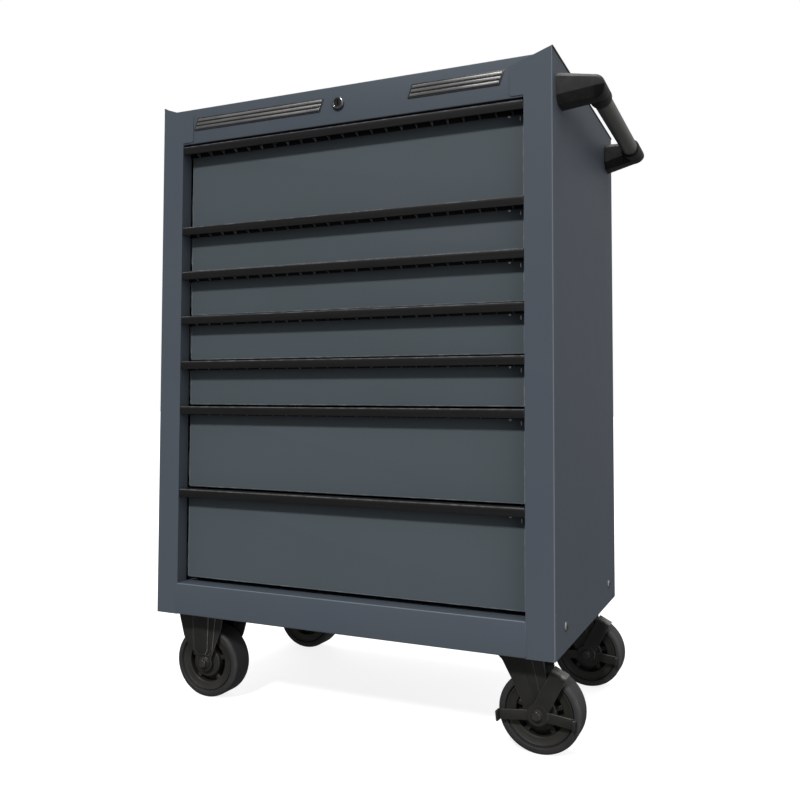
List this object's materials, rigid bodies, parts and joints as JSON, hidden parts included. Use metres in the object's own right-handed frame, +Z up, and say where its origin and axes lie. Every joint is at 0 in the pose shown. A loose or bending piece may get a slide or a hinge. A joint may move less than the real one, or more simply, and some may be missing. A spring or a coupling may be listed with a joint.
{
  "type": "rolling tool chest",
  "caption": "Rolling steel tool chest with full-width drawers on telescopic slides, a side push handle, a front lock and fixed and swivel casters with brakes.",
  "frame": {"origin": "on the floor under the middle of the whole chest's bounding box", "axes": "+Z up, drawers open towards -Y, push handle on the +X side"},
  "size_m": [0.771, 0.5486, 1.061],
  "materials": {
    "cabinet_paint": "satin slate grey powder coat",
    "drawer_paint": "satin slate grey powder coat",
    "pull_black": "black anodised extrusion",
    "zinc_steel": "zinc plated steel",
    "black_steel": "black zinc plated steel",
    "fork_black": "black powder coat",
    "black_rubber": "matt black rubber",
    "badge_metal": "dark brushed chrome",
    "lock_chrome": "polished chrome",
    "lock_dark": "dark brushed steel",
    "handle_plastic": "moulded black nylon",
    "grip_rubber": "black grip sleeve",
    "wheel_plastic": "moulded dark grey polypropylene",
    "tyre_rubber": "black polyurethane tyre"
  },
  "bodies": {
    "cabinet": {"side_panel_left": "cabinet_paint", "side_panel_right": "cabinet_paint", "back_panel": "cabinet_paint", "bottom_pan": "cabinet_paint", "caster_doublers": "zinc_steel", "top_tray": "cabinet_paint", "top_mat": "black_rubber", "top_fascia": "cabinet_paint", "bottom_rail": "cabinet_paint", "slide_posts": "zinc_steel", "slide_channels": "zinc_steel", "edge_trims": "black_rubber", "badge_plates": "badge_metal", "lock_housing": "lock_chrome", "handle_arm_front": "handle_plastic", "handle_arm_rear": "handle_plastic", "handle_tube": "grip_rubber", "panel_bolts": "black_steel", "rigid_forks": "fork_black", "rigid_axles": "black_steel", "swivel_plates": "fork_black", "caster_bolts": "zinc_steel"},
    "lock": {"lock_plug": "lock_dark", "lock_rod": "zinc_steel"},
    "lock_bar": {"lock_bar": "zinc_steel"},
    "drawer_1": {"drawer_1": "drawer_paint", "pull_1": "pull_black"},
    "slide_middle_1": {"slide_middle_1": "zinc_steel"},
    "drawer_2": {"drawer_2": "drawer_paint", "pull_2": "pull_black"},
    "slide_middle_2": {"slide_middle_2": "zinc_steel"},
    "drawer_3": {"drawer_3": "drawer_paint", "pull_3": "pull_black"},
    "slide_middle_3": {"slide_middle_3": "zinc_steel"},
    "drawer_4": {"drawer_4": "drawer_paint", "pull_4": "pull_black"},
    "slide_middle_4": {"slide_middle_4": "zinc_steel"},
    "drawer_5": {"drawer_5": "drawer_paint", "pull_5": "pull_black"},
    "slide_middle_5": {"slide_middle_5": "zinc_steel"},
    "drawer_6": {"drawer_6": "drawer_paint", "pull_6": "pull_black"},
    "slide_middle_6": {"slide_middle_6": "zinc_steel"},
    "drawer_7": {"drawer_7": "drawer_paint", "pull_7": "pull_black"},
    "slide_middle_7": {"slide_middle_7": "zinc_steel"},
    "wheel_left_front": {"wheel_core_left_front": "wheel_plastic", "tyre_left_front": "tyre_rubber"},
    "wheel_left_rear": {"wheel_core_left_rear": "wheel_plastic", "tyre_left_rear": "tyre_rubber"},
    "swivel_front": {"fork_front": "fork_black", "axle_front": "black_steel"},
    "brake_front": {"brake_front": "fork_black"},
    "wheel_right_front": {"wheel_core_right_front": "wheel_plastic", "tyre_right_front": "tyre_rubber"},
    "swivel_rear": {"fork_rear": "fork_black", "axle_rear": "black_steel"},
    "brake_rear": {"brake_rear": "fork_black"},
    "wheel_right_rear": {"wheel_core_right_rear": "wheel_plastic", "tyre_right_rear": "tyre_rubber"}
  },
  "joints": [
    {"name": "lock_bar_lift", "type": "slide", "parent": "cabinet", "child": "lock_bar", "axis": [0, 0, 1], "range_m": [0, 0.01]},
    {"name": "lock_turn", "type": "hinge", "parent": "cabinet", "child": "lock", "pos_m": [-0.0325, -0.2717, 1.021], "axis": [0, -1, 0], "range_deg": [0, 90]},
    {"name": "drawer_1_slide", "type": "slide", "parent": "cabinet", "child": "drawer_1", "axis": [0, -1, 0], "range_m": [0, 0.46]},
    {"name": "slide_middle_1_slide", "type": "slide", "parent": "cabinet", "child": "slide_middle_1", "axis": [0, -1, 0], "range_m": [0, 0.23]},
    {"name": "drawer_2_slide", "type": "slide", "parent": "cabinet", "child": "drawer_2", "axis": [0, -1, 0], "range_m": [0, 0.46]},
    {"name": "slide_middle_2_slide", "type": "slide", "parent": "cabinet", "child": "slide_middle_2", "axis": [0, -1, 0], "range_m": [0, 0.23]},
    {"name": "drawer_3_slide", "type": "slide", "parent": "cabinet", "child": "drawer_3", "axis": [0, -1, 0], "range_m": [0, 0.46]},
    {"name": "slide_middle_3_slide", "type": "slide", "parent": "cabinet", "child": "slide_middle_3", "axis": [0, -1, 0], "range_m": [0, 0.23]},
    {"name": "drawer_4_slide", "type": "slide", "parent": "cabinet", "child": "drawer_4", "axis": [0, -1, 0], "range_m": [0, 0.46]},
    {"name": "slide_middle_4_slide", "type": "slide", "parent": "cabinet", "child": "slide_middle_4", "axis": [0, -1, 0], "range_m": [0, 0.23]},
    {"name": "drawer_5_slide", "type": "slide", "parent": "cabinet", "child": "drawer_5", "axis": [0, -1, 0], "range_m": [0, 0.46]},
    {"name": "slide_middle_5_slide", "type": "slide", "parent": "cabinet", "child": "slide_middle_5", "axis": [0, -1, 0], "range_m": [0, 0.23]},
    {"name": "drawer_6_slide", "type": "slide", "parent": "cabinet", "child": "drawer_6", "axis": [0, -1, 0], "range_m": [0, 0.46]},
    {"name": "slide_middle_6_slide", "type": "slide", "parent": "cabinet", "child": "slide_middle_6", "axis": [0, -1, 0], "range_m": [0, 0.23]},
    {"name": "drawer_7_slide", "type": "slide", "parent": "cabinet", "child": "drawer_7", "axis": [0, -1, 0], "range_m": [0, 0.46]},
    {"name": "slide_middle_7_slide", "type": "slide", "parent": "cabinet", "child": "slide_middle_7", "axis": [0, -1, 0], "range_m": [0, 0.23]},
    {"name": "wheel_left_front_spin", "type": "hinge", "parent": "cabinet", "child": "wheel_left_front", "pos_m": [-0.309, -0.1957, 0.062], "axis": [0, 1, 0], "continuous": true},
    {"name": "wheel_left_rear_spin", "type": "hinge", "parent": "cabinet", "child": "wheel_left_rear", "pos_m": [-0.309, 0.1983, 0.062], "axis": [0, 1, 0], "continuous": true},
    {"name": "swivel_front_turn", "type": "hinge", "parent": "cabinet", "child": "swivel_front", "pos_m": [0.244, -0.1957, 0.15], "axis": [0, 0, 1], "continuous": true},
    {"name": "wheel_right_front_spin", "type": "hinge", "parent": "swivel_front", "child": "wheel_right_front", "pos_m": [0.282, -0.1957, 0.062], "axis": [0, 1, 0], "continuous": true},
    {"name": "brake_front_press", "type": "hinge", "parent": "swivel_front", "child": "brake_front", "pos_m": [0.282, -0.1957, 0.062], "axis": [0, 1, 0], "range_deg": [0, 15]},
    {"name": "swivel_rear_turn", "type": "hinge", "parent": "cabinet", "child": "swivel_rear", "pos_m": [0.244, 0.1983, 0.15], "axis": [0, 0, 1], "continuous": true},
    {"name": "wheel_right_rear_spin", "type": "hinge", "parent": "swivel_rear", "child": "wheel_right_rear", "pos_m": [0.282, 0.1983, 0.062], "axis": [0, 1, 0], "continuous": true},
    {"name": "brake_rear_press", "type": "hinge", "parent": "swivel_rear", "child": "brake_rear", "pos_m": [0.282, 0.1983, 0.062], "axis": [0, 1, 0], "range_deg": [0, 15]}
  ],
  "couplings": [
    {"joint": "lock_turn", "follows": "lock_bar_lift", "rad_per_m": 157.07},
    {"joint": "slide_middle_1_slide", "follows": "drawer_1_slide", "ratio": 0.5},
    {"joint": "slide_middle_2_slide", "follows": "drawer_2_slide", "ratio": 0.5},
    {"joint": "slide_middle_3_slide", "follows": "drawer_3_slide", "ratio": 0.5},
    {"joint": "slide_middle_4_slide", "follows": "drawer_4_slide", "ratio": 0.5},
    {"joint": "slide_middle_5_slide", "follows": "drawer_5_slide", "ratio": 0.5},
    {"joint": "slide_middle_6_slide", "follows": "drawer_6_slide", "ratio": 0.5},
    {"joint": "slide_middle_7_slide", "follows": "drawer_7_slide", "ratio": 0.5}
  ]
}
